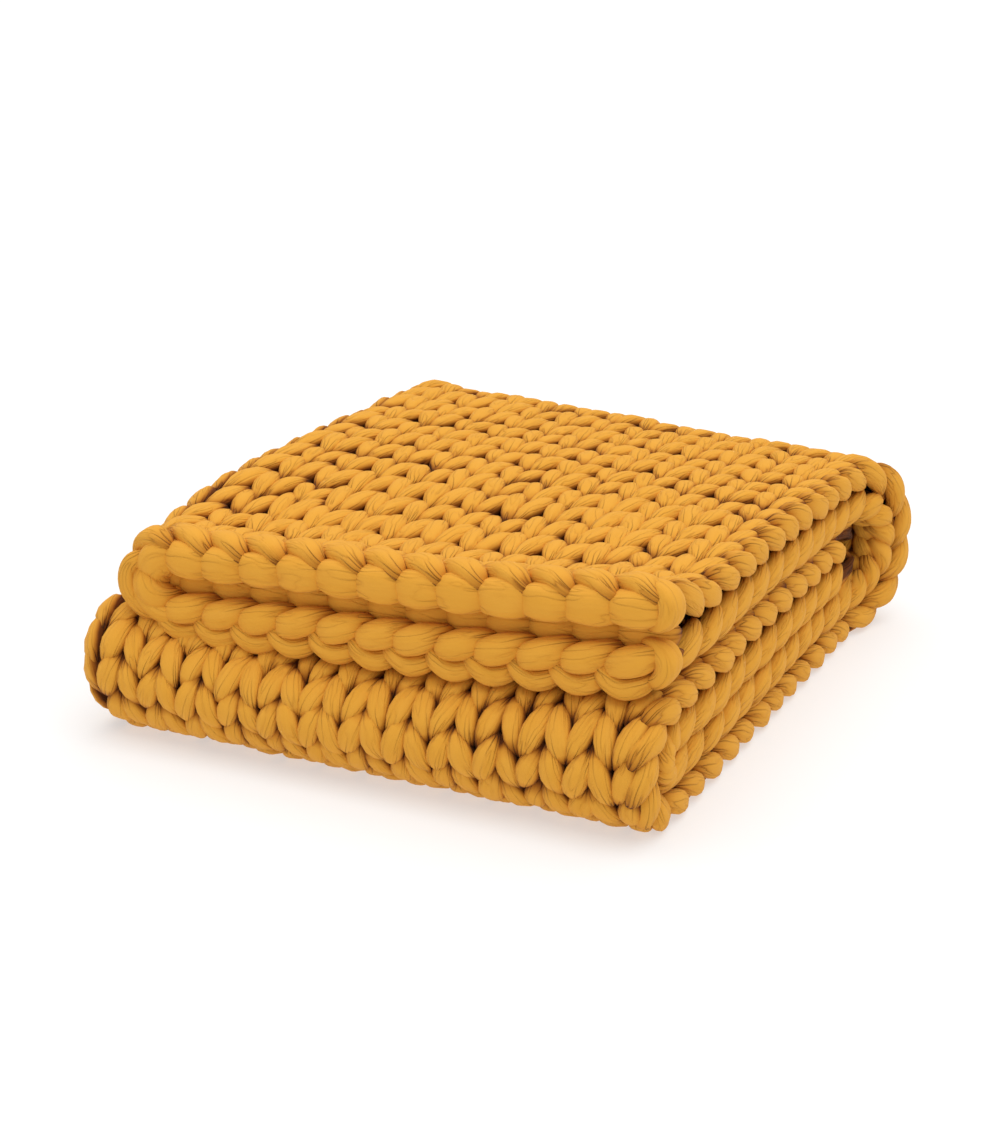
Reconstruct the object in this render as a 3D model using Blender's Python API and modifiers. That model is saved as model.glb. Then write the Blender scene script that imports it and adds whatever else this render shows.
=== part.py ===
# A hand-knitted blanket of thick jersey cord, folded for a shelf.
# The cloth is doubled along its left side, and the doubled cloth is folded in
# three. Its free edges lie at the front of the top, its first turn is at the
# back, and its second turn is at the front, under the free edges.
# Metres. X runs across the folded cloth, +Y towards its back, and Z up from
# the surface that it lies on. The origin ends at the middle of its base.

import math

import bmesh
import bpy

# Driving sizes
FOLDED_WIDTH = 0.586        # from the doubled left side to the free right edges
FOLDED_DEPTH = 0.700        # from the front turn to the back turn
CLOTH_THICKNESS = 0.032     # one layer of the knitted cloth, pressed by the others
LAYER_PITCH = 0.035         # from the middle of one layer to the middle of the next
EDGE_ROUND = 0.009          # rounding of the cloth's free edges
EDGE_ROUND_STEPS = 2

# Where the cloth's ends lie, measured back from the front turn
TOP_EDGE_SETBACK = 0.032
INNER_END_SETBACK = 0.585

# How the free edges on top lie
LIP_REACH = 0.130           # the cloth is loose over this distance from its free edges
LIP_RISE = 0.022            # and rises this much towards them
LIP_PITCH = 0.052           # while its two layers part this far
LIP_DRAW_IN = 0.048         # and its left side draws in
TOP_DRAW_IN = 0.020         # the rest of the top lies this far inside the bottom's left side
CORNER_DROOP = 0.018        # the left front corner of the top hangs this far down
CORNER_DROOP_REACH = 0.220  # and the droop fades out over this distance

# How the pile settles, as shares of its height
LEFT_BACK_SINK = -0.02
RIGHT_BACK_SINK = 0.10
BACK_SKEW = 0.020           # the left of the back turn lies this far back, the right forward
RIGHT_FLARE = 0.034         # the free edges spread out round the back turn
RIGHT_FLARE_REACH = 0.130
FRONT_SAG = 0.027           # the front of the pile sinks this much in its middle
FRONT_SAG_TILT = 0.010      # and this much at its right
FRONT_SAG_LEVEL = 0.040     # this far from the front before the sinking eases off
FRONT_SAG_REACH = 0.380
FRONT_SAG_HEIGHT = 0.155    # the sinking grows from nothing at the base to all of it here

# How finely the cloth is divided across
LAYER_STEPS = 12            # on each of the two layers of the doubled cloth
SIDE_FOLD_STEPS = 6

COLOUR = (0.68, 0.34, 0.065, 1.0)
ROUGHNESS = 0.85

# Sizes that follow from these
HALF_DOUBLED = (LAYER_PITCH + CLOTH_THICKNESS) / 2      # half the doubled cloth's thickness
BOTTOM_Z = HALF_DOUBLED
MIDDLE_Z = BOTTOM_Z + 2 * LAYER_PITCH
TOP_Z = MIDDLE_Z + 2 * LAYER_PITCH
FRONT_Y = -FOLDED_DEPTH / 2
BACK_Y = FOLDED_DEPTH / 2
LIP_Y = FRONT_Y + TOP_EDGE_SETBACK
FRONT_CENTRE_Y = FRONT_Y + HALF_DOUBLED + (MIDDLE_Z - BOTTOM_Z) / 2
BACK_CENTRE_Y = BACK_Y - HALF_DOUBLED - (TOP_Z - BOTTOM_Z) / 2
INNER_END_Y = FRONT_Y + INNER_END_SETBACK
RIGHT_X = FOLDED_WIDTH / 2
LEFT_X = -RIGHT_X

# The way of the doubled cloth's middle, from its free edges to its end inside the
# pile. A run is straight. A turn is half a circle, clockwise as seen from the right.
# The pitch is between the two layers, and the draw-in is at the left side.
WAY = (
    # kind, steps, (y, z, pitch, draw-in) at its start, and at its end
    ("run", 4, (LIP_Y, TOP_Z + LIP_RISE, LIP_PITCH, LIP_DRAW_IN),
               (LIP_Y + LIP_REACH, TOP_Z + LIP_RISE / 3, LAYER_PITCH, TOP_DRAW_IN)),
    ("run", 7, (LIP_Y + LIP_REACH, TOP_Z + LIP_RISE / 3, LAYER_PITCH, TOP_DRAW_IN),
               (BACK_CENTRE_Y, TOP_Z, LAYER_PITCH, TOP_DRAW_IN)),
    ("turn", 12, (BACK_CENTRE_Y, TOP_Z, LAYER_PITCH, TOP_DRAW_IN),
                 (BACK_CENTRE_Y, BOTTOM_Z, LAYER_PITCH, 0.0)),
    ("run", 8, (BACK_CENTRE_Y, BOTTOM_Z, LAYER_PITCH, 0.0),
               (FRONT_CENTRE_Y, BOTTOM_Z, LAYER_PITCH, 0.0)),
    ("turn", 10, (FRONT_CENTRE_Y, BOTTOM_Z, LAYER_PITCH, 0.0),
                 (FRONT_CENTRE_Y, MIDDLE_Z, LAYER_PITCH, 0.0)),
    ("run", 8, (FRONT_CENTRE_Y, MIDDLE_Z, LAYER_PITCH, 0.0),
               (INNER_END_Y, MIDDLE_Z, LAYER_PITCH, TOP_DRAW_IN)),
)


def fade(distance, reach):
    """Fall smoothly from 1 at no distance to 0 at the reach."""
    t = min(max(distance / reach, 0.0), 1.0)
    return 1 - t * t * (3 - 2 * t)


def way_stations():
    """Return (y, z, pitch, draw-in, heading) along the doubled cloth's middle."""
    stations = []
    heading = 0.0
    for kind, steps, start, end in WAY:
        for i in range(1 if stations else 0, steps + 1):
            t = i / steps
            y, z, pitch, draw_in = (a + (b - a) * t for a, b in zip(start, end))
            angle = heading
            if kind == "turn":
                angle -= math.pi * t
                radius = abs(start[1] - end[1]) / 2
                y = start[0] - radius * math.sin(angle)
                z = (start[1] + end[1]) / 2 + radius * math.cos(angle)
            stations.append((y, z, pitch, draw_in, angle))
        if kind == "turn":
            heading -= math.pi
    return stations


def doubled_point(column, pitch, draw_in):
    """Return (x, offset) on the doubled cloth, from its outer free edge to its inner one."""
    radius = pitch / 2
    centre_x = LEFT_X + draw_in + CLOTH_THICKNESS / 2 + radius
    past_fold = column - LAYER_STEPS - SIDE_FOLD_STEPS
    if column < LAYER_STEPS:
        return RIGHT_X + (centre_x - RIGHT_X) * column / LAYER_STEPS, radius
    if past_fold > 0:
        return centre_x + (RIGHT_X - centre_x) * past_fold / LAYER_STEPS, -radius
    angle = math.pi * (column - LAYER_STEPS) / SIDE_FOLD_STEPS
    return centre_x - radius * math.sin(angle), radius * math.cos(angle)


def corner_droop(x, y, z):
    """Return how far the top's left front corner hangs down at a point."""
    if z < TOP_Z - LAYER_PITCH:
        return 0.0
    from_side = x - LEFT_X - LIP_DRAW_IN
    return CORNER_DROOP * fade(y - LIP_Y, CORNER_DROOP_REACH) * fade(from_side, CORNER_DROOP_REACH)


def cloth_surface(name):
    """Make the middle surface of the knitted cloth as it lies folded, as one grid."""
    stations = way_stations()
    rows = len(stations) - 1
    columns = 2 * LAYER_STEPS + SIDE_FOLD_STEPS
    grid = bmesh.new()
    bmesh.ops.create_grid(grid, x_segments=columns, y_segments=rows, size=1)
    for vertex in grid.verts:
        column = round((vertex.co.x + 1) / 2 * columns)
        y, z, pitch, draw_in, heading = stations[round((vertex.co.y + 1) / 2 * rows)]
        x, offset = doubled_point(column, pitch, draw_in)
        y -= offset * math.sin(heading)
        z += offset * math.cos(heading)
        vertex.co = (x, y, z - corner_droop(x, y, z))
    mesh = bpy.data.meshes.new(name)
    grid.to_mesh(mesh)
    grid.free()
    return bpy.data.objects.new(name, mesh)


def settled(x, y, z):
    """Return where a point of the folded cloth lies once the pile has settled."""
    right = (x - LEFT_X) / FOLDED_WIDTH
    back = (y - FRONT_Y) / FOLDED_DEPTH
    sink = back * (LEFT_BACK_SINK * (1 - right) + RIGHT_BACK_SINK * right)
    flare = RIGHT_FLARE * right ** 4 * fade(BACK_Y - y, RIGHT_FLARE_REACH)
    skew = BACK_SKEW * (1 - 2 * right) * max(back, 0.0) ** 2
    share = min(max(right, 0.0), 1.0)
    sag = FRONT_SAG * math.sin(math.pi * share ** 0.7) + FRONT_SAG_TILT * share
    sag *= fade(y - FRONT_Y - FRONT_SAG_LEVEL, FRONT_SAG_REACH) * (1 - fade(z, FRONT_SAG_HEIGHT))
    return x + flare, y + skew, z * (1 - sink) - sag


def cloth_solid(name, surface):
    """Thicken the middle surface, round its free edges, and let the pile settle."""
    thick = surface.modifiers.new("Thickness", "SOLIDIFY")
    thick.thickness = CLOTH_THICKNESS
    thick.offset = 0
    thick.use_quality_normals = True
    rounded = surface.modifiers.new("Edges", "BEVEL")
    rounded.width = EDGE_ROUND
    rounded.segments = EDGE_ROUND_STEPS
    rounded.limit_method = "ANGLE"
    rounded.angle_limit = math.radians(60)
    rounded.use_clamp_overlap = False
    bpy.context.view_layer.update()
    depsgraph = bpy.context.evaluated_depsgraph_get()
    mesh = bpy.data.meshes.new_from_object(surface.evaluated_get(depsgraph))
    mesh.name = name
    bpy.data.objects.remove(surface)
    for vertex in mesh.vertices:
        vertex.co = settled(*vertex.co)
    centre_base(mesh)
    return bpy.data.objects.new(name, mesh)


def centre_base(mesh):
    """Move the settled pile so that its base is centred on the origin."""
    for axis in (0, 1):
        places = [vertex.co[axis] for vertex in mesh.vertices]
        middle = (min(places) + max(places)) / 2
        for vertex in mesh.vertices:
            vertex.co[axis] -= middle


def jersey():
    """Make the cloth's material: matt ochre cotton jersey."""
    material = bpy.data.materials.new("ochre jersey")
    material.use_nodes = True
    shader = material.node_tree.nodes["Principled BSDF"]
    shader.inputs["Base Color"].default_value = COLOUR
    shader.inputs["Roughness"].default_value = ROUGHNESS
    shader.inputs["Metallic"].default_value = 0.0
    return material


def main():
    for thing in list(bpy.data.objects):
        bpy.data.objects.remove(thing)
    collection = bpy.data.collections.new("folded_blanket")
    bpy.context.scene.collection.children.link(collection)
    surface = cloth_surface("cloth_middle")
    collection.objects.link(surface)
    blanket = cloth_solid("blanket", surface)
    collection.objects.link(blanket)
    blanket.data.materials.append(jersey())
    blanket.data.shade_smooth()
    blanket.data.set_sharp_from_angle(angle=math.radians(40))


main()
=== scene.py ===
import math

import bpy
import numpy as np
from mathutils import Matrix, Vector


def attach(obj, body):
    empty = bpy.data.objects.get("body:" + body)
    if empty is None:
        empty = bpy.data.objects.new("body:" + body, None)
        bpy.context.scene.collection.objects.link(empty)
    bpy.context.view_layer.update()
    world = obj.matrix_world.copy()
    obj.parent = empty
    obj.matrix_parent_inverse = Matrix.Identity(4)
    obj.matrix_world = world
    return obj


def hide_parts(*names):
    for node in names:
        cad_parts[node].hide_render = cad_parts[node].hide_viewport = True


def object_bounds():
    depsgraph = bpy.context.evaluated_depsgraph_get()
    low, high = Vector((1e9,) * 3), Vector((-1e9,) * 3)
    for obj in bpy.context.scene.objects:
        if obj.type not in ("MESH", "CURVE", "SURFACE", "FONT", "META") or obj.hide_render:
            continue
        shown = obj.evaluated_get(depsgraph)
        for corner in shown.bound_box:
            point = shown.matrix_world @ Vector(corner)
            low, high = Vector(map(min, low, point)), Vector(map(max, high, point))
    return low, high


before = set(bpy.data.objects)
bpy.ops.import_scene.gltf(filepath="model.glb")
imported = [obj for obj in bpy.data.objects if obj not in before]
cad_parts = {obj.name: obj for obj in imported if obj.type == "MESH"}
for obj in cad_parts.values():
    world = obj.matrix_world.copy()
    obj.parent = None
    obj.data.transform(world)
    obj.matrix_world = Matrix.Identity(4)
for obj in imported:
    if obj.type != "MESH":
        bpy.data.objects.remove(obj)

cadLow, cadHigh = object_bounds()

# The folded cloth in metres, as the solid that this stands for has it.
fold = {
    "width": 0.586,
    "depth": 0.700,
    "thickness": 0.032,
    "pitch": 0.035,          # between the two layers of the doubled cloth
    "lipSetback": 0.032,     # from the front turn to the free edges on top
    "endSetback": 0.585,     # from the front turn to the end inside the stack
    "lipReach": 0.130,       # how far back the free edges stand open
    "lipRise": 0.022,
    "lipPitch": 0.052,
    "lipDrawIn": 0.048,      # how far the left side is drawn in at the free edges
    "topDrawIn": 0.020,
    "droop": 0.018,          # the front left corner of the top hangs this much
    "droopReach": 0.220,
    "leftSink": -0.02,
    "rightSink": 0.10,
    "skew": 0.020,
    "flare": 0.034,
    "flareReach": 0.130,
    "sag": 0.027,            # the front of the stack sinks in its middle
    "sagTilt": 0.010,        # and a little more to the right
    "sagLevel": 0.04,        # this far back before it eases off
    "sagReach": 0.380,
    "sagFrom": 0.155,        # from this height up, all of it
    "sagShift": 0.7,         # under 1 puts the lowest place left of the middle
    "droopRows": 15,         # the rows that the corner's droop moves
}

knit = {
    "wales": 26,             # stitches across the whole cloth
    "courses": (3, 10, 6, 12, 5, 12),    # rows in each piece of the way
    "edgeInset": 0.016,      # from the cloth's side edge to its first stitch
    "legCentre": 0.242,      # from the wale's side to the middle of a leg, in stitches
    "legReach": 0.76,        # half of a leg's length, in rows
    "legLean": 0.185,        # how far its ends stand from its middle, in stitches
    "legTop": 0.0098,        # its height over the middle of the cloth
    "legEnds": 0.0040,       # and at its ends
    "backDepth": 0.0095,     # how deep the loops' heads and feet lie
    "rowLap": 0.0014,        # how far a leg's foot lies over the leg before it
    "foldStretch": 0.34,     # how much wider the strands are at the doubled side
    "foldReach": 0.85,       # and over how many stitches
    "fullness": 0.76,        # 1 gives round strands, less gives fuller ones
    "sunk": 0.0162,          # the cloth is shaded below this height
    "sunkBlend": 0.0050,     # and fully so this much further down
    "pinchShade": 0.85,      # how much the squeezed ends of the other strands are shaded
    "width": 0.0228,
    "thickness": 0.0188,
    "tipPower": 2.2,         # higher keeps a leg wide for longer
    "tipNarrow": 0.72,       # what a leg loses of its width at its tips
    "tipThin": 0.42,         # and of its thickness
    "backNarrow": 0.30,      # what the heads and feet lose
    "backThin": 0.25,
    "uneven": 1.6,
    "unevenAcross": 0.016,   # what one step of unevenness does to a leg, in stitches
    "unevenAlong": 0.05,     # in rows
    "unevenHeight": 0.0009,
    "unevenWidth": 0.05,
    "limit": 1.8,            # no leg is more uneven than this
    "shownStitches": 15,     # from the upper free side, round the fold: made more finely
    "seed": 11,
}

# The surface of every strand: two waves of gathers round it, in shares of its half width.
gather = {
    "fine": 5,               # gathers round the strand
    "fineDepth": 0.012,
    "fineSqueezed": 0.045,   # deeper by this where it is squeezed
    "coarse": 3,
    "coarseDepth": 0.020,
    "coarseSqueezed": 0.030,
    "coarseTurn": 1.7,       # how much faster they wind the other way
    "wander": 6,             # how far they wander along the strand
    "wanderPace": 21,
    "fewestSides": 14,       # a strand with fewer sides stays smooth
    "clearance": 0.0004,     # over the floor
}

foldStitch = knit["wales"] / 2
courseCount = sum(knit["courses"])
random = np.random.default_rng(knit["seed"])


def fadeOut(distance, reach):
    t = np.clip(distance / reach, 0.0, 1.0)
    return 1 - t * t * (3 - 2 * t)


def smooth(t):
    t = np.clip(t, 0.0, 1.0)
    return t * t * (3 - 2 * t)


right = fold["width"] / 2
left = -right
frontY = -fold["depth"] / 2
backY = fold["depth"] / 2
bottomZ = (fold["pitch"] + fold["thickness"]) / 2
middleZ = bottomZ + 2 * fold["pitch"]
topZ = middleZ + 2 * fold["pitch"]
lipY = frontY + fold["lipSetback"]
frontCentreY = frontY + bottomZ + (middleZ - bottomZ) / 2
backCentreY = backY - bottomZ - (topZ - bottomZ) / 2
innerEndY = frontY + fold["endSetback"]
baseShift = np.array([cadLow.x - left, cadLow.y - frontY, 0.0])

# kind, start y and z, end y and z, layer pitch at both, draw-in of the left side at both
way = (
    ("run", lipY, topZ + fold["lipRise"], lipY + fold["lipReach"], topZ + fold["lipRise"] / 3,
     fold["lipPitch"], fold["pitch"], fold["lipDrawIn"], fold["topDrawIn"]),
    ("run", lipY + fold["lipReach"], topZ + fold["lipRise"] / 3, backCentreY, topZ,
     fold["pitch"], fold["pitch"], fold["topDrawIn"], fold["topDrawIn"]),
    ("turn", backCentreY, topZ, backCentreY, bottomZ,
     fold["pitch"], fold["pitch"], fold["topDrawIn"], 0.0),
    ("run", backCentreY, bottomZ, frontCentreY, bottomZ,
     fold["pitch"], fold["pitch"], 0.0, 0.0),
    ("turn", frontCentreY, bottomZ, frontCentreY, middleZ,
     fold["pitch"], fold["pitch"], 0.0, 0.0),
    ("run", frontCentreY, middleZ, innerEndY, middleZ,
     fold["pitch"], fold["pitch"], 0.0, fold["topDrawIn"]),
)


def clothPlace(stitch, row, height):
    # stitch counts from the upper layer's free side, round the left fold, to the lower one's;
    # row counts from the free edge on top; height stands off the cloth's middle, outwards
    stitch, row, height = (np.asarray(v, float) for v in np.broadcast_arrays(stitch, row, height))
    half = fold["pitch"] / 2
    straight = fold["width"] - fold["thickness"] / 2 - half
    whole = 2 * straight + math.pi * half
    across = (knit["edgeInset"] + stitch / knit["wales"] * (whole - 2 * knit["edgeInset"])) / whole
    beta = np.clip((across * whole - straight) / half, 0, math.pi)
    offset = half * np.cos(beta)
    lengths = []
    for kind, y0, z0, y1, z1, *others in way:
        if kind == "run":
            lengths.append(np.full(offset.shape, math.hypot(y1 - y0, z1 - z0)))
        else:
            lengths.append(math.pi * (abs(z0 - z1) / 2 + offset))
    along = row * lengths[0] / knit["courses"][0]
    rowsBefore = 0
    before = np.zeros(offset.shape)
    for number, rows in enumerate(knit["courses"]):
        here = (row - rowsBefore) / rows * lengths[number] + before
        along = np.where(row > rowsBefore, here, along)
        before = before + lengths[number]
        rowsBefore += rows
    y, z, pitch, drawIn, angle, start = (np.zeros(offset.shape) for count in range(6))
    heading = 0.0
    for number, (kind, y0, z0, y1, z1, pitch0, pitch1, drawIn0, drawIn1) in enumerate(way):
        reached = (along >= start) | (number == 0)
        t = (along - start) / lengths[number]
        inside = np.clip(t, 0, 1)
        ease = smooth(t)
        if kind == "run":
            free = t if number in (0, len(way) - 1) else inside
            pieceY = y0 + (y1 - y0) * free
            pieceZ = z0 + (z1 - z0) * (ease if number < 2 else inside)
            pieceAngle = np.full(offset.shape, heading)
        else:
            pieceAngle = heading - math.pi * inside
            radius = abs(z0 - z1) / 2
            pieceY = y0 - radius * np.sin(pieceAngle)
            pieceZ = (z0 + z1) / 2 + radius * np.cos(pieceAngle)
            heading -= math.pi
        y = np.where(reached, pieceY, y)
        z = np.where(reached, pieceZ, z)
        angle = np.where(reached, pieceAngle, angle)
        pitch = np.where(reached, pitch0 + (pitch1 - pitch0) * ease, pitch)
        drawIn = np.where(reached, drawIn0 + (drawIn1 - drawIn0) * ease, drawIn)
        start = start + lengths[number]
    radius = pitch / 2
    centreX = left + drawIn + fold["thickness"] / 2 + radius
    flat = right - centreX
    developed = across * (2 * flat + math.pi * radius)
    beta = np.clip((developed - flat) / radius, 0, math.pi)
    x = np.where(developed < flat, right - developed,
                 np.where(developed > flat + math.pi * radius,
                          centreX + developed - flat - math.pi * radius,
                          centreX - radius * np.sin(beta)))
    x = x - height * np.sin(beta)
    lift = (radius + height) * np.cos(beta)
    y = y - lift * np.sin(angle)
    z = z + lift * np.cos(angle)
    hangs = fold["droop"] * fadeOut(y - lipY, fold["droopReach"]) \
        * fadeOut(x - left - fold["lipDrawIn"], fold["droopReach"])
    z = z - np.where(row < fold["droopRows"], hangs, 0.0)
    return settled(x, y, z)


def settled(x, y, z):
    # the stack leans, flares and sags as a whole
    share = (x - left) / fold["width"]
    back = (y - frontY) / fold["depth"]
    sink = back * (fold["leftSink"] * (1 - share) + fold["rightSink"] * share)
    flare = fold["flare"] * share ** 4 * fadeOut(backY - y, fold["flareReach"])
    skew = fold["skew"] * (1 - 2 * share) * np.maximum(back, 0.0) ** 2
    share = np.clip(share, 0.0, 1.0)
    sag = fold["sag"] * np.sin(math.pi * share ** fold["sagShift"]) + fold["sagTilt"] * share
    sag = sag * fadeOut(y - frontY - fold["sagLevel"], fold["sagReach"]) * smooth(z / fold["sagFrom"])
    return np.stack([x + flare, y + skew, z * (1 - sink) - sag], axis=-1) + baseShift


# which way a strand's flat side looks: a small step in stitches, rows and height
facings = {"cloth": (0, 0, 0.001), "lip": (0, -0.01, 0), "left": (-0.02, 0, 0), "right": (0.02, 0, 0)}


def tubeAlong(stitch, row, height, width, thickness, pinch, ringCount, tone, facing="cloth", sunk=None):
    # one closed strand through these places, lying flat to the cloth, to its lip or to its side
    place = clothPlace(stitch, row, height)
    towards = facings[facing]
    normal = clothPlace(stitch + towards[0], row + towards[1], height + towards[2]) - place
    tangent = np.gradient(place, axis=0)
    tangent /= np.linalg.norm(tangent, axis=1, keepdims=True)
    side = np.cross(tangent, normal)
    side /= np.maximum(np.linalg.norm(side, axis=1, keepdims=True), 1e-9)
    up = np.cross(side, tangent)
    phi = np.arange(ringCount) / ringCount * 2 * math.pi
    step = np.linalg.norm(np.diff(place, axis=0), axis=1)
    along = np.concatenate([[0], np.cumsum(step)])
    # gathers in the tube where it is squeezed, and soft dents along it
    phase = tone * 40 + gather["wander"] * np.sin(along * gather["wanderPace"] + tone * 17)
    squeezed = pinch[:, None]
    fine = np.cos(gather["fine"] * phi[None, :] + phase[:, None])
    coarse = np.cos(gather["coarse"] * phi[None, :] - gather["coarseTurn"] * phase[:, None])
    gathers = (gather["fineDepth"] + gather["fineSqueezed"] * squeezed) * fine \
        + (gather["coarseDepth"] + gather["coarseSqueezed"] * squeezed) * coarse
    swell = 1 + gathers * (ringCount >= gather["fewestSides"])
    c, s = np.cos(phi), np.sin(phi)
    c = np.sign(c) * np.abs(c) ** knit["fullness"]
    s = np.sign(s) * np.abs(s) ** knit["fullness"]
    ring = place[:, None, :] \
        + side[:, None, :] * (swell * c[None, :] * width[:, None] / 2)[:, :, None] \
        + up[:, None, :] * (swell * s[None, :] * thickness[:, None] / 2)[:, :, None]
    ring[:, :, 2] = np.maximum(ring[:, :, 2], gather["clearance"])   # it lies flat on the floor
    # painted shade, 0 to 1: how deep each place lies between the strands, or for the edge strands how
    # squeezed it is
    if sunk is None:
        paintedShade = np.repeat((pinch ** 2)[:, None], ringCount, 1) * knit["pinchShade"]
    else:
        lift = np.abs(height)[:, None] + np.sign(height)[:, None] * s[None, :] * thickness[:, None] / 2
        paintedShade = np.clip((sunk - lift) / knit["sunkBlend"], 0, 1)
    return ring, along, pinch, tone, paintedShade


def joinStrands(name, strands):
    # every strand is a run of rings with its two ends closed
    points, loops, starts, sizes = [], [], [], []
    values = {"alongStrand": [], "roundX": [], "roundY": [], "pinch": [], "tone": [], "paintedShade": []}
    base = 0
    used = 0
    for ring, along, pinch, tone, paintedShade in strands:
        count, sides = ring.shape[:2]
        points += [ring.reshape(-1, 3), ring[:1].mean(1), ring[-1:].mean(1)]
        here = np.arange(sides)
        after = (here + 1) % sides
        rows = np.arange(count - 1)[:, None] * sides + base
        quads = np.stack([rows + here, rows + here + sides, rows + after + sides, rows + after], -1)
        last = base + (count - 1) * sides
        first = base + count * sides
        ends = np.concatenate([
            np.stack([np.full(sides, first), base + here, base + after], -1),
            np.stack([np.full(sides, first + 1), last + after, last + here], -1)])
        for block, size in ((quads.reshape(-1, 4), 4), (ends, 3)):
            loops.append(block.reshape(-1))
            starts.append(used + np.arange(len(block)) * size)
            sizes.append(np.full(len(block), size))
            used += block.size
        values["alongStrand"].append(np.concatenate([np.repeat(along, sides), along[[0, -1]]]))
        turn = here / sides * 2 * math.pi
        values["roundX"].append(np.concatenate([np.tile(np.cos(turn), count), [0.0, 0.0]]))
        values["roundY"].append(np.concatenate([np.tile(np.sin(turn), count), [0.0, 0.0]]))
        values["pinch"].append(np.concatenate([np.repeat(pinch, sides), pinch[[0, -1]]]))
        values["tone"].append(np.full(count * sides + 2, tone))
        # the painted shade of each place, full at the closed ends
        values["paintedShade"].append(np.concatenate([paintedShade.reshape(-1), [1.0, 1.0]]))
        base += count * sides + 2
    points, loops, starts, sizes = (np.concatenate(v) for v in (points, loops, starts, sizes))
    mesh = bpy.data.meshes.new(name)
    mesh.vertices.add(len(points))
    mesh.vertices.foreach_set("co", points.astype(np.float32).reshape(-1))
    mesh.loops.add(len(loops))
    mesh.loops.foreach_set("vertex_index", loops.astype(np.int32))
    mesh.polygons.add(len(starts))
    mesh.polygons.foreach_set("loop_start", starts.astype(np.int32))
    mesh.polygons.foreach_set("loop_total", sizes.astype(np.int32))
    mesh.update(calc_edges=True)
    for attribute, parts in values.items():
        layer = mesh.attributes.new(attribute, "FLOAT", "POINT")
        layer.data.foreach_set("value", np.concatenate(parts).astype(np.float32))
    mesh.shade_smooth()
    piece = bpy.data.objects.new(name, mesh)
    bpy.context.scene.collection.objects.link(piece)
    triangles = int((sizes - 2).sum())
    print(name, triangles, "triangles")
    return piece


# the rows of stitches
lastLeg = 2 * knit["wales"] + 2
legNoise = random.normal(0, 1, (4, courseCount + 1, lastLeg + 1))
legNoise = np.clip(legNoise, -knit["limit"], knit["limit"])


def unevenLeg(kind, course, t):
    # a value for each leg, blended smoothly from one to the next
    where = np.clip(t / math.pi, 0, lastLeg - 1)
    leg = np.floor(where).astype(int)
    blend = smooth((where - leg) * 2 - 0.5)
    values = legNoise[kind, course]
    following = values[np.minimum(leg + 1, lastLeg)]
    return knit["uneven"] * (values[leg] * (1 - blend) + following * blend)


def rowOfStitches(course, fromStitch, toStitch, perStitch, ringCount):
    # one strand: a foot, a leg, a head and a leg for each stitch
    count = int(round((toStitch - fromStitch) * perStitch)) + 1
    t = np.linspace(fromStitch, toStitch, count) * 2 * math.pi
    stitchNumber = np.floor(t / (2 * math.pi) + 0.5)      # the foot that is nearest
    turn = t - stitchNumber * 2 * math.pi                 # from -pi to pi, 0 at the foot
    side = np.sign(turn)
    turn = np.abs(turn)
    footEnd = 0.2 * math.pi
    headStart = 0.8 * math.pi
    u = -np.cos(turn) / math.cos(footEnd)                 # -1 to 1 along a leg
    inLeg = np.clip(u, -1, 1)
    atFoot = knit["legCentre"] + knit["legLean"]
    atHead = knit["legCentre"] - knit["legLean"]
    inFoot = atFoot * np.sin(turn / footEnd * math.pi / 2)
    inHead = 0.5 - (0.5 - atHead) * np.sin((math.pi - turn) / footEnd * math.pi / 2)
    sideways = np.where(turn < footEnd, inFoot,
                        np.where(turn > headStart, inHead, knit["legCentre"] - knit["legLean"] * inLeg))
    stitch = stitchNumber + side * sideways + knit["unevenAcross"] * unevenLeg(0, course, t)
    row = course + 0.5 + knit["legReach"] * u + knit["unevenAlong"] * unevenLeg(1, course, t)
    away = np.where(turn < footEnd, turn, np.where(turn > headStart, math.pi - turn, footEnd)) / footEnd
    lift = knit["legTop"] - (knit["legTop"] - knit["legEnds"]) * inLeg ** 2
    dive = np.cos(away * math.pi / 2) ** 2
    height = lift * (1 - dive) - knit["backDepth"] * dive - knit["rowLap"] * inLeg \
        + knit["unevenHeight"] * unevenLeg(2, course, t)
    pinch = np.abs(inLeg) ** knit["tipPower"] * (1 - 0.85 * dive)
    girth = 1 + knit["unevenWidth"] * unevenLeg(3, course, t)
    # the stitches are stretched where they go round the doubled side
    stretched = knit["foldStretch"] * np.exp(-((stitch - foldStitch) / knit["foldReach"]) ** 2)
    width = knit["width"] * (girth + stretched) \
        * (1 - knit["tipNarrow"] * pinch - knit["backNarrow"] * dive)
    thickness = knit["thickness"] * girth * (1 - knit["tipThin"] * pinch - knit["backThin"] * dive)
    return tubeAlong(stitch, row, height, width, thickness, pinch, ringCount, (course * 0.37) % 1.0,
                     sunk=knit["sunk"])


pieces = []
shown = knit["shownStitches"]
# name, first row, row after the last, rings for each stitch, sides of a strand
for name, first, last, perStitch, ringCount in (
        ("knit_top", 1, 13, 26, 20),
        ("knit_back_turn", 13, 19, 26, 18),
        ("knit_bottom", 19, 30, 16, 12),
        ("knit_front_turn", 30, 38, 26, 20),
        ("knit_middle", 38, 48, 16, 12)):
    strands = [rowOfStitches(course, 0, shown, perStitch, ringCount) for course in range(first, last)]
    pieces.append(joinStrands(name, strands))
strands = [rowOfStitches(course, shown, knit["wales"], 16, 10) for course in range(1, courseCount)]
pieces.append(joinStrands("knit_inner_layer", strands))


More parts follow.
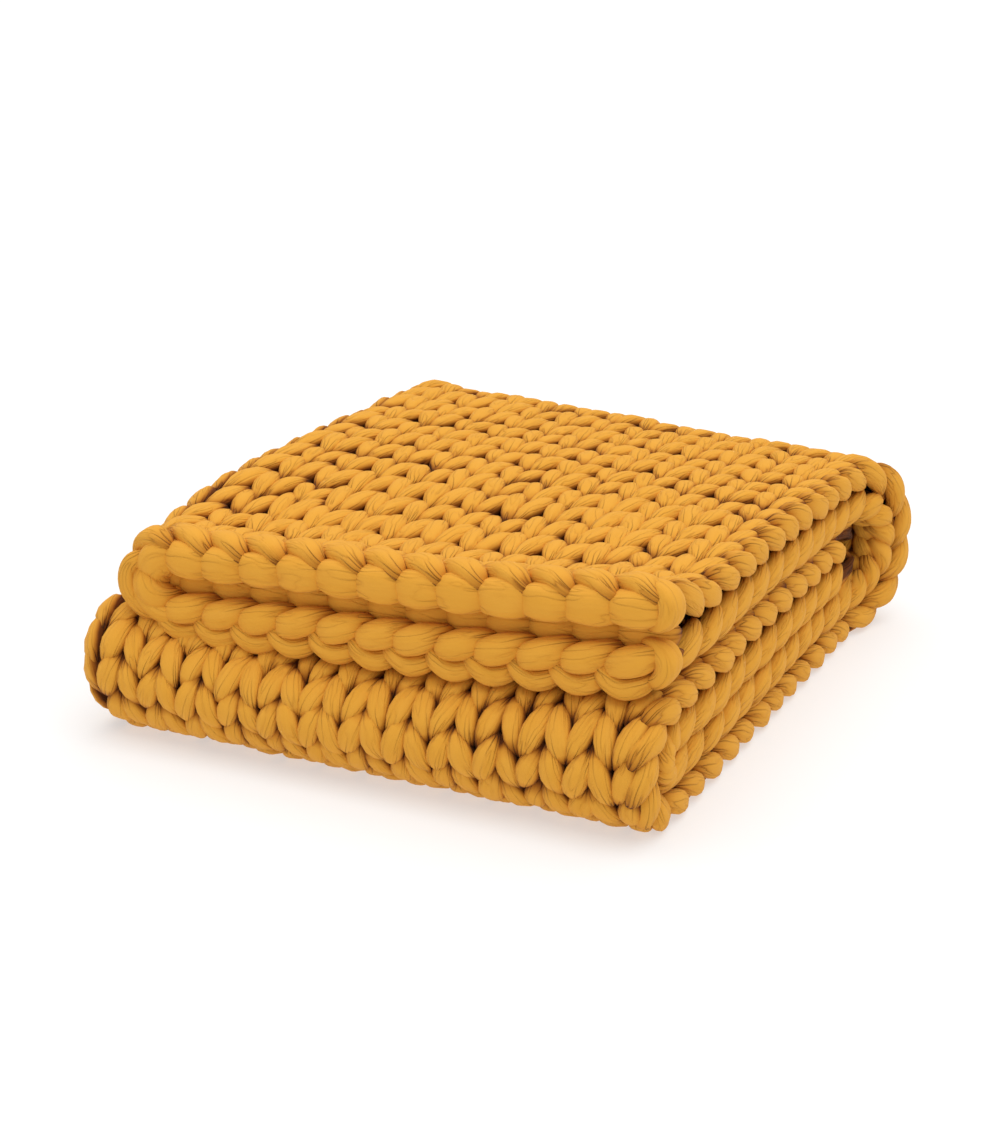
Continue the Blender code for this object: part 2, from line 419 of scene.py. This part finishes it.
# the free edges
def through(points, perSpan):
    # a smooth route through a few places
    points = np.array(points, float)
    padded = np.concatenate([2 * points[:1] - points[1:2], points, 2 * points[-1:] - points[-2:-1]])
    out = []
    for i in range(len(points) - 1):
        a, b, c, d = padded[i:i + 4]
        t = np.linspace(0, 1, perSpan, endpoint=False)[:, None]
        out.append(0.5 * (2 * b + (c - a) * t + (2 * a - 5 * b + 4 * c - d) * t ** 2
                          + (3 * b - a - 3 * c + d) * t ** 3))
    return np.concatenate(out + [points[-1:]])


def edgeStrand(layer, points, tone, perSpan=7, ringCount=20, facing="cloth"):
    # places are: stitches from the left, rows, millimetres off the cloth, width, thickness, pinch
    route = through(points, perSpan)
    stitch = foldStitch - route[:, 0] if layer == "upper" else foldStitch + route[:, 0]
    pinch = np.clip(route[:, 5], 0, 1)
    return tubeAlong(stitch, route[:, 1], route[:, 2] / 1000, route[:, 3] / 1000, route[:, 4] / 1000,
                     pinch, ringCount, tone, facing)


def nudge(amount):
    # a small change, the same in every run
    return amount * float(np.clip(random.normal(), -1.6, 1.6))


strands = []
for k in range(knit["wales"] // 2):
    middle = k + 0.5 + nudge(0.03)
    size = 30 + nudge(1.2)
    # the fat part that faces forwards
    strands.append(edgeStrand("upper", [
        (middle - 0.40, 0.80, -4, 12, 14, 1.0),
        (middle - 0.475, 0.54, -4, 19, 24, 0.9),
        (middle - 0.37, 0.33, -4, 27, size + 1, 0.3),
        (middle, 0.27, -4, 30, size + 5, 0.0),
        (middle + 0.37, 0.33, -4, 27, size + 1, 0.3),
        (middle + 0.475, 0.54, -4, 19, 24, 0.9),
        (middle + 0.40, 0.80, -4, 12, 14, 1.0)], (k * 0.61) % 1))
    # the slanting part over it
    strands.append(edgeStrand("upper", [
        (middle - 1.02, 1.50, 2, 12, 10, 1.0),
        (middle - 0.82, 1.14, 9, 19, 14, 0.7),
        (middle - 0.34, 0.72, 15, 26, 18, 0.1),
        (middle + 0.10, 0.44, 15, 26, 19, 0.0),
        (middle + 0.40, 0.24, 9, 18, 15, 0.6),
        (middle + 0.52, 0.26, -2, 10, 10, 1.0)], (k * 0.37 + 0.2) % 1))
    # the part that passes below
    strands.append(edgeStrand("upper", [
        (middle + 0.60, 0.50, -6, 13, 11, 1.0),
        (middle + 0.42, 0.42, -13, 20, 12, 0.5),
        (middle, 0.46, -17, 24, 13, 0.1),
        (middle - 0.45, 0.70, -15, 20, 12, 0.5),
        (middle - 0.62, 1.00, -10, 12, 10, 1.0)], (k * 0.53 + 0.4) % 1))
pieces.append(joinStrands("edge_upper", strands))

strands = []
for k in range(knit["wales"] // 2):
    middle = k + 0.5 + nudge(0.03)
    size = 27 + nudge(1.2)
    # the drop that lies along the edge, its tail to the right
    strands.append(edgeStrand("lower", [
        (middle - 0.52, 0.60, 8, 12, 12, 1.0),
        (middle - 0.50, 0.36, 5, 22, 19, 0.5),
        (middle - 0.24, 0.18, 1, size, 26, 0.0),
        (middle + 0.10, 0.20, -3, size, 26, 0.0),
        (middle + 0.42, 0.34, -7, 20, 19, 0.5),
        (middle + 0.66, 0.56, -7, 12, 12, 0.9),
        (middle + 0.76, 0.78, -4, 8, 9, 1.0)], (k * 0.47) % 1))
    # the loop that hangs below it
    strands.append(edgeStrand("lower", [
        (middle - 0.62, 0.62, -4, 12, 12, 1.0),
        (middle - 0.68, 0.30, 4, 17, 16, 0.5),
        (middle - 0.58, 0.20, 15, 22, 18, 0.2),
        (middle - 0.20, 0.18, 23, 23, 20, 0.0),
        (middle + 0.16, 0.26, 19, 19, 18, 0.3),
        (middle + 0.32, 0.50, 8, 11, 11, 1.0)], (k * 0.29 + 0.3) % 1))
    # the bump behind, which faces the gap
    strands.append(edgeStrand("lower", [
        (middle - 0.40, 1.15, -16, 12, 14, 1.0),
        (middle - 0.475, 0.95, -18, 19, 22, 0.9),
        (middle - 0.36, 0.78, -20, 27, 28, 0.3),
        (middle, 0.72, -21, 30, 31, 0.0),
        (middle + 0.36, 0.78, -20, 27, 28, 0.3),
        (middle + 0.475, 0.95, -18, 19, 22, 0.9),
        (middle + 0.40, 1.15, -16, 12, 14, 1.0)], (k * 0.71 + 0.1) % 1, 6, 16))
pieces.append(joinStrands("edge_lower", strands))

strands = []
# the strands that close the edge at its right and turn down at its left
strands.append(edgeStrand("upper", [
    (12.40, 0.80, 10, 10, 12, 1.0), (12.78, 0.62, 14, 15, 24, 0.4), (13.12, 0.46, 7, 19, 32, 0.0),
    (13.22, 0.40, -6, 19, 33, 0.0), (13.02, 0.42, -17, 15, 26, 0.4), (12.62, 0.55, -19, 10, 13, 1.0)],
    0.2, facing="lip"))
strands.append(edgeStrand("lower", [
    (12.50, 0.70, -13, 10, 12, 1.0), (12.84, 0.50, -14, 16, 25, 0.4), (13.14, 0.42, -6, 19, 31, 0.0),
    (13.18, 0.38, 6, 19, 31, 0.0), (12.96, 0.42, 16, 15, 25, 0.4), (12.56, 0.56, 17, 10, 13, 1.0)],
    0.7, facing="lip"))
strands.append(edgeStrand("upper", [
    (0.35, 0.75, 6, 14, 12, 1.0), (0.10, 0.55, 9, 30, 18, 0.5), (-0.40, 0.36, 9, 37, 23, 0.0),
    (-0.95, 0.34, 8, 36, 23, 0.0), (-1.40, 0.45, 6, 26, 18, 0.4), (-1.65, 0.60, 2, 13, 12, 1.0)], 0.45))
strands.append(edgeStrand("lower", [
    (-0.85, 0.55, -6, 14, 12, 1.0), (-0.55, 0.36, -8, 22, 20, 0.3), (-0.15, 0.30, -10, 24, 20, 0.1),
    (0.15, 0.42, -12, 18, 16, 0.5), (0.35, 0.60, -12, 12, 12, 1.0)], 0.9))
pieces.append(joinStrands("edge_corners", strands))


# the side edges
def sideLeaf(layer, row, tone):
    # one slanting strand on the cloth's side, its two ends tucked in
    out = foldStitch + 0.04 + nudge(0.02)      # in stitches from the doubled side
    size = 24 + nudge(1.0)
    facing = "left" if layer == "upper" else "right"
    return edgeStrand(layer, [
        (out - 0.20, row - 0.34, 11, 8, 9, 1.0),
        (out - 0.06, row - 0.05, 10, size - 6, 16, 0.5),
        (out + 0.05, row + 0.45, 1, size, 20, 0.0),
        (out - 0.01, row + 0.95, -9, size - 6, 16, 0.5),
        (out - 0.18, row + 1.24, -12, 8, 9, 1.0)], tone, 5, 14, facing)


strands = []
for course in range(1, courseCount - 1):
    for layer in ("upper", "lower"):
        strands.append(sideLeaf(layer, course + 0.22 + nudge(0.04), (course * 0.43 + 0.1) % 1))
pieces.append(joinStrands("edge_sides", strands))
print("knitting done")

# the cloth's finish, with painted shade between the strands and in the creases
jersey = {
    "face": (0.740, 0.336, 0.030),
    # the two colours of the painted shade, a warmer brown and a near black
    "warmShade": (0.520, 0.150, 0.006),
    "paintedShade": (0.085, 0.018, 0.001),
    "pale": (0.790, 0.385, 0.052),
    "roughness": 0.82,
    "sheen": 0.06,
    "sheenTint": (1.0, 0.75, 0.45),
    "gloss": 0.18,
    "ribs": (16, 9.0),       # lengthways and round the strand
    "ribDepth": 0.22,
    "creases": (26, 1.5),
    "creaseSharpness": 16.0,
    "creaseDepth": 0.9,
    "creaseShade": 0.42,
    "creaseEverywhere": 0.22,    # what of the creases shows where nothing is squeezed
    "weave": (700, 46),
    "weaveDepth": 0.05,
    "bump": 0.0030,
    "patches": (9, 1.1),
    "gapShade": 0.95,
}


class Wire:
    # a socket that can be used in sums
    def __init__(self, tree, socket):
        self.tree = tree
        self.socket = socket

    def maths(self, operation, other, flipped=False):
        pair = (other, self) if flipped else (self, other)
        return self.tree.make("ShaderNodeMath", {"operation": operation}, dict(enumerate(pair)))

    def __add__(self, other):
        return self.maths("ADD", other)

    def __radd__(self, other):
        return self.maths("ADD", other, True)

    def __sub__(self, other):
        return self.maths("SUBTRACT", other)

    def __rsub__(self, other):
        return self.maths("SUBTRACT", other, True)

    def __mul__(self, other):
        return self.maths("MULTIPLY", other)

    def __rmul__(self, other):
        return self.maths("MULTIPLY", other, True)

    def __truediv__(self, other):
        return self.maths("DIVIDE", other)

    def __pow__(self, other):
        return self.maths("POWER", other)


class Tree:
    def __init__(self, name):
        self.material = bpy.data.materials.new(name)
        self.material.use_nodes = True
        self.nodes = self.material.node_tree.nodes
        self.links = self.material.node_tree.links
        self.shader = self.nodes["Principled BSDF"]

    def plug(self, socket, value):
        if isinstance(value, Wire):
            self.links.new(value.socket, socket)
        else:
            socket.default_value = value

    def make(self, kind, settings, values, output=0):
        node = self.nodes.new(kind)
        for key, value in settings.items():
            setattr(node, key, value)
        for key, value in values.items():
            self.plug(node.inputs[key], value)
        return Wire(self, node.outputs[output])


def jerseyFinish():
    tree = Tree("ochreJersey")

    def reading(name):
        return tree.make("ShaderNodeAttribute", {"attribute_name": name}, {}, "Fac")

    along, acrossX, acrossY, pinch, tone, paintedShade = (
        reading(n) for n in ("alongStrand", "roundX", "roundY", "pinch", "tone", "paintedShade"))

    def strandNoise(lengthways, crossways, detail, shift):
        spot = tree.make("ShaderNodeCombineXYZ", {}, {
            0: along * lengthways + tone * 37 + shift, 1: acrossX * crossways, 2: acrossY * crossways})
        return tree.make("ShaderNodeTexNoise", {}, {"Vector": spot, "Scale": 1.0, "Detail": detail,
                                                    "Roughness": 0.55}, "Fac")

    ribs = strandNoise(*jersey["ribs"], 2.0, 0)
    folds = strandNoise(*jersey["creases"], 1.0, 11)
    crease = (1 - (folds * 2 - 1).maths("ABSOLUTE", 0.0)) ** jersey["creaseSharpness"]
    weave = strandNoise(*jersey["weave"], 1.0, 3)
    squeeze = jersey["creaseEverywhere"] + pinch * (1 - jersey["creaseEverywhere"])
    relief = ribs * jersey["ribDepth"] - crease * squeeze * jersey["creaseDepth"] \
        + weave * jersey["weaveDepth"]
    normal = tree.make("ShaderNodeBump", {}, {
        "Strength": 0.9, "Distance": jersey["bump"], "Height": relief})
    patch = strandNoise(*jersey["patches"], 2.0, 29)
    colour = tree.make("ShaderNodeMix", {"data_type": "RGBA"}, {
        0: patch * 0.9, 6: (*jersey["face"], 1), 7: (*jersey["pale"], 1)}, 2)
    # painted shade between the strands and in the creases, darker by way of a warmer tone, then near
    # black
    shade = paintedShade * jersey["gapShade"] + crease * squeeze * jersey["creaseShade"]
    colour = tree.make("ShaderNodeMix", {"data_type": "RGBA"}, {
        0: shade * 1.15, 6: colour, 7: (*jersey["warmShade"], 1)}, 2)
    colour = tree.make("ShaderNodeMix", {"data_type": "RGBA"}, {
        0: shade ** 2.0, 6: colour, 7: (*jersey["paintedShade"], 1)}, 2)
    tree.plug(tree.shader.inputs["Base Color"], colour)
    tree.plug(tree.shader.inputs["Normal"], normal)
    tree.shader.inputs["Roughness"].default_value = jersey["roughness"]
    tree.shader.inputs["Sheen Weight"].default_value = jersey["sheen"]
    tree.shader.inputs["Sheen Roughness"].default_value = 0.4
    tree.shader.inputs["Sheen Tint"].default_value = (*jersey["sheenTint"], 1)
    tree.shader.inputs["Specular IOR Level"].default_value = jersey["gloss"]
    return tree.material


finish = jerseyFinish()
for piece in pieces:
    piece.data.materials.append(finish)
    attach(piece, "root")
    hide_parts("blanket")
print("finish done")

# floor, light and camera
studio = {
    "floor": (0.46, 0.455, 0.45),
    "floorGlow": 0.50,       # keeps the shadow on the floor faint
    "sky": 0.62,
    "sun": 2.0,
    "sunAngle": 75,
    "sunPlace": (0.25, 0.1, 2.5),
    "floorSize": 80,
    "floorDrop": 0.0005,     # below the blanket, so that the two don't share a plane
}

bpy.ops.object.select_all(action="DESELECT")
bpy.ops.mesh.primitive_plane_add(size=studio["floorSize"], location=(0, 0, -studio["floorDrop"]))
floor = bpy.context.object
floor.name = "floor"
paper = Tree("paleFloor")
paper.shader.inputs["Base Color"].default_value = (*studio["floor"], 1)
paper.shader.inputs["Roughness"].default_value = 0.9
paper.shader.inputs["Emission Color"].default_value = (1, 1, 1, 1)
paper.shader.inputs["Emission Strength"].default_value = studio["floorGlow"]
floor.data.materials.append(paper.material)

world = bpy.data.worlds.new("studio")
world.use_nodes = True
world.node_tree.nodes["Background"].inputs["Color"].default_value = (1, 1, 1, 1)
world.node_tree.nodes["Background"].inputs["Strength"].default_value = studio["sky"]
bpy.context.scene.world = world
bpy.context.scene.view_settings.view_transform = "Standard"

lamp = bpy.data.lights.new("softbox", "SUN")
lamp.energy = studio["sun"]
lamp.angle = math.radians(studio["sunAngle"])
stand = bpy.data.objects.new("softbox", lamp)
stand.location = studio["sunPlace"]
stand.rotation_euler = (Vector((0, 0, 0)) - stand.location).to_track_quat("-Z", "Y").to_euler()
bpy.context.scene.collection.objects.link(stand)

view = {"azimuth": 26.2, "elevation": 19.2, "distance": 2.15, "lens": 67.1,
        "aim": (-0.031, -0.0305, 0.104)}
a, e = math.radians(view["azimuth"]), math.radians(view["elevation"])
backward = Vector((math.sin(a) * math.cos(e), -math.cos(a) * math.cos(e), math.sin(e)))
optics = bpy.data.cameras.new("camera")
optics.lens = view["lens"]
optics.sensor_width = 36
camera = bpy.data.objects.new("camera", optics)
camera.location = Vector(view["aim"]) + backward * view["distance"]
camera.rotation_euler = (-backward).to_track_quat("-Z", "Y").to_euler()
bpy.context.scene.collection.objects.link(camera)
bpy.context.scene.camera = camera
